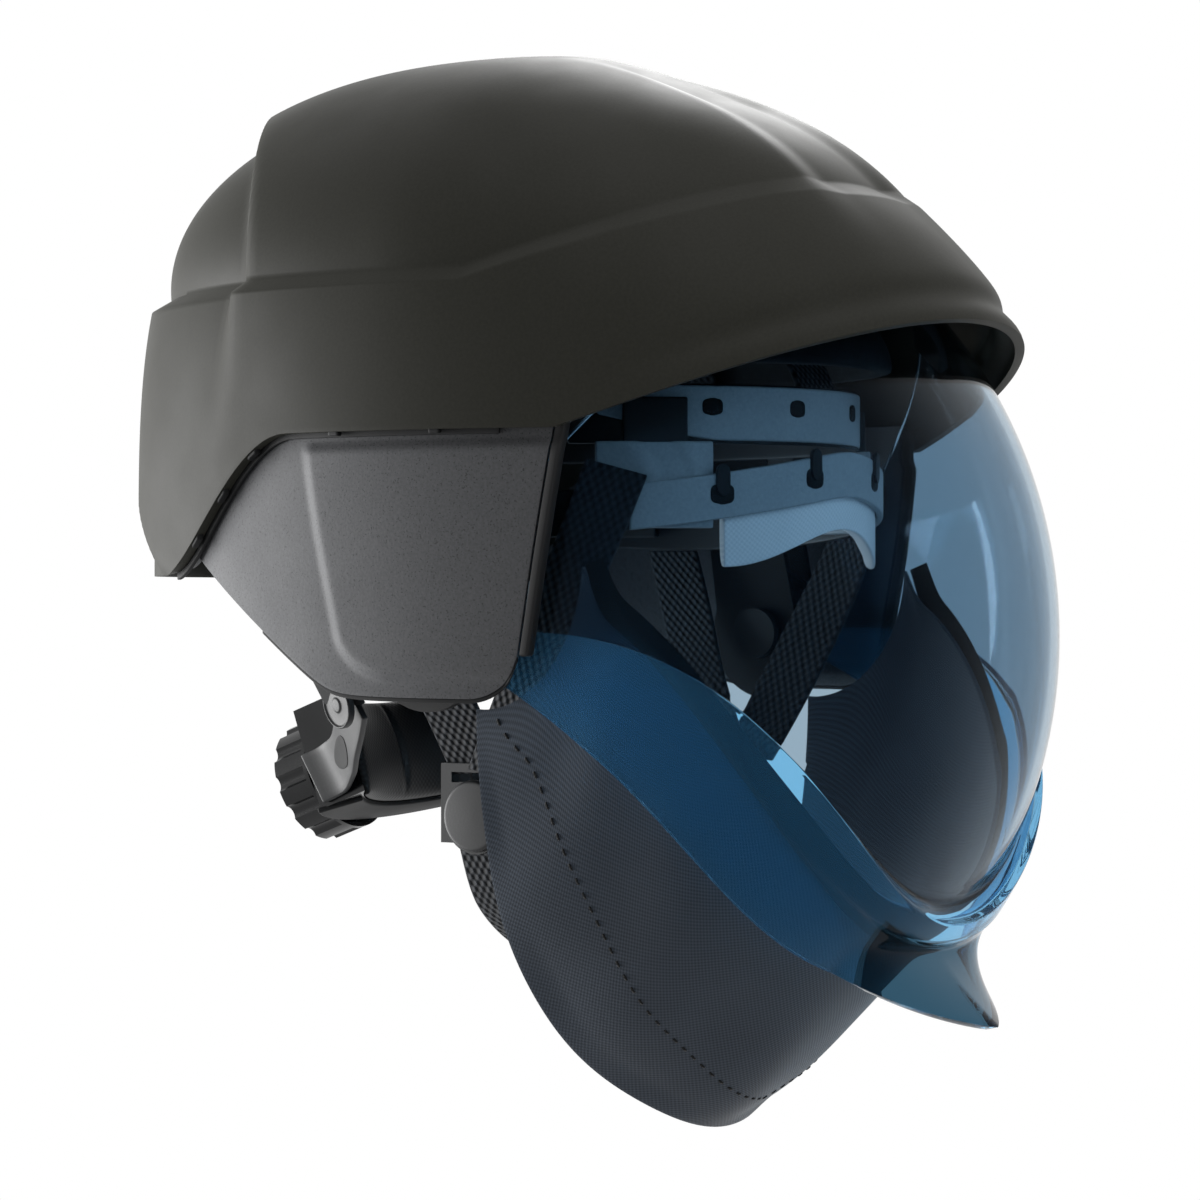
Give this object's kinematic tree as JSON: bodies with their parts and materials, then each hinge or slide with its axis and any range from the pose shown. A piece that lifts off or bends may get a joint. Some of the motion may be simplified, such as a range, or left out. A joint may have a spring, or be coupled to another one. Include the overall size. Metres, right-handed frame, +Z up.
{
  "type": "safety helmet",
  "caption": "Hard-shell safety helmet with a tilting full-face clear visor, hanging chin cover, side covers, head harness with turning size adjuster, and chin strap with a release buckle.",
  "frame": {"origin": "centre of the headband, where the head sits", "axes": "-Y is the way the wearer faces, +Z up, +X the wearer's left"},
  "size_m": [0.224, 0.2999, 0.3207],
  "materials": {
    "shell_plastic": "satin",
    "foam": "matt",
    "cover_plastic": "fine texture",
    "seal_rubber": "matt",
    "frame_plastic": "satin",
    "pin_steel": "brushed",
    "visor_clear": "polished",
    "cloth": "woven",
    "thread": "stitched",
    "band_plastic": "satin",
    "arm_plastic": "satin",
    "pad_fabric": "padded",
    "nape_fabric": "padded",
    "webbing": "woven",
    "housing_plastic": "gloss",
    "buckle_plastic": "satin"
  },
  "bodies": {
    "helmet": {"outer_shell": "shell_plastic", "impact_liner": "foam", "left_side_cover": "cover_plastic", "right_side_cover": "cover_plastic", "left_edge_seal": "seal_rubber", "right_edge_seal": "seal_rubber", "left_frame_plate": "frame_plastic", "right_frame_plate": "frame_plastic", "left_cradle_plate": "frame_plastic", "right_cradle_plate": "frame_plastic", "left_pivot_pin": "pin_steel", "right_pivot_pin": "pin_steel", "cradle_band": "band_plastic", "band_hangers": "band_plastic", "headband": "band_plastic", "left_strap_slider": "arm_plastic", "right_strap_slider": "arm_plastic", "brow_pad": "pad_fabric", "left_front_strap": "webbing", "right_front_strap": "webbing", "left_rear_strap": "webbing", "right_rear_strap": "webbing", "left_lower_strap": "webbing", "right_lower_strap": "webbing", "crown_strap_long": "webbing", "crown_strap_cross": "webbing", "buckle_socket": "buckle_plastic", "buckle_tongue": "buckle_plastic"},
    "visor": {"visor": "visor_clear", "visor_rivets": "pin_steel", "visor_top_rail": "seal_rubber", "chin_cloth": "cloth", "cloth_clip_rail": "seal_rubber", "cloth_seam": "thread", "left_visor_hub": "frame_plastic", "right_visor_hub": "frame_plastic"},
    "rear_cradle": {"left_adjuster_tail": "band_plastic", "right_adjuster_tail": "band_plastic", "left_nape_hanger": "arm_plastic", "right_nape_hanger": "arm_plastic", "left_nape_arm": "arm_plastic", "right_nape_arm": "arm_plastic", "ratchet_housing": "housing_plastic", "nape_pad": "nape_fabric"},
    "knob": {"ratchet_knob": "housing_plastic", "ratchet_pinion": "pin_steel"},
    "button": {"buckle_button": "buckle_plastic"}
  },
  "joints": [
    {"name": "visor_tilt", "type": "hinge", "parent": "helmet", "child": "visor", "pos_m": [0, -0.01, -0.04], "axis": [-1, 0, 0], "range_deg": [0, 60]},
    {"name": "headband_size", "type": "slide", "parent": "helmet", "child": "rear_cradle", "axis": [0, -1, 0], "range_m": [0, 0.012]},
    {"name": "knob_turn", "type": "hinge", "parent": "rear_cradle", "child": "knob", "pos_m": [0, 0.084, -0.08], "axis": [0, -0.9397, 0.342], "range_deg": [0, 172]},
    {"name": "buckle_press", "type": "slide", "parent": "helmet", "child": "button", "axis": [0, 0, 1], "range_m": [0, 0.0015], "stiffness_N_per_m": 400}
  ],
  "couplings": [
    {"joint": "knob_turn", "follows": "headband_size", "rad_per_m": 250}
  ]
}
